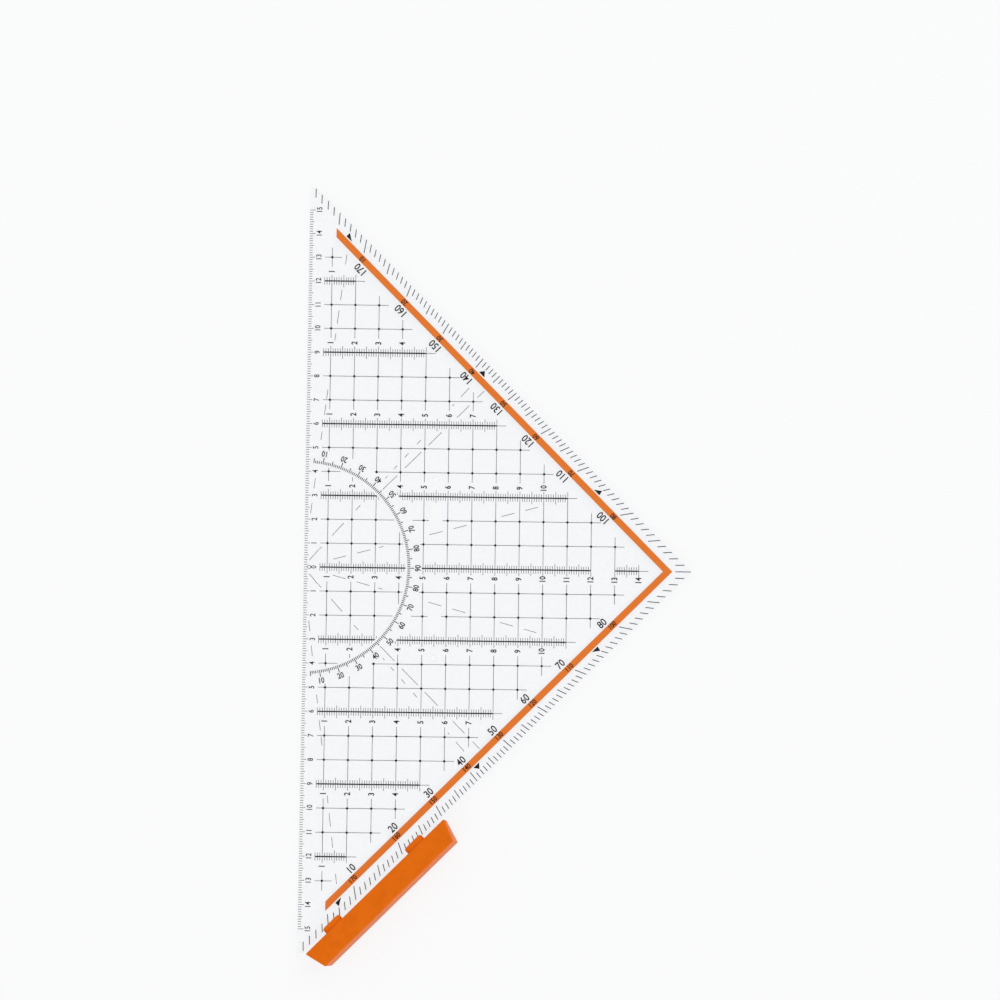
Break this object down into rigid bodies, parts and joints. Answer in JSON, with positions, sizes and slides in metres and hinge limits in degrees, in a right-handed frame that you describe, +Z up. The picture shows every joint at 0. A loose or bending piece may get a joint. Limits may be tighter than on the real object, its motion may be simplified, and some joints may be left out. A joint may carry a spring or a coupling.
{
  "type": "drafting triangle",
  "caption": "Clear right-angled drafting triangle with a centimetre ruler, grid and protractor scales, and a loose orange grip that plugs into its slots.",
  "frame": {"origin": "the zero mark in the middle of the drawing edge, at paper level under the nubs", "axes": "+X from the drawing edge to the right-angle corner, +Y along the drawing edge, +Z up from the paper"},
  "size_m": [0.1622, 0.3251, 0.0143],
  "materials": {
    "clear_plastic": "clear polished polystyrene",
    "orange_plastic": "glossy orange moulding",
    "black_ink": "printed black ink",
    "orange_ink": "printed orange ink"
  },
  "bodies": {
    "triangle": {"plate": "clear_plastic", "ruler_scale": "black_ink", "centimetre_grid": "black_ink", "cross_scales": "black_ink", "protractor_scale": "black_ink", "degree_scale": "black_ink", "angle_lines": "black_ink", "angle_pointers": "black_ink", "guide_stripe": "orange_ink"},
    "grip": {"grip": "orange_plastic"}
  },
  "joints": [
    {"name": "grip_lift", "type": "slide", "parent": "triangle", "child": "grip", "axis": [0, 0, 1], "range_m": [0, 0.06]}
  ]
}
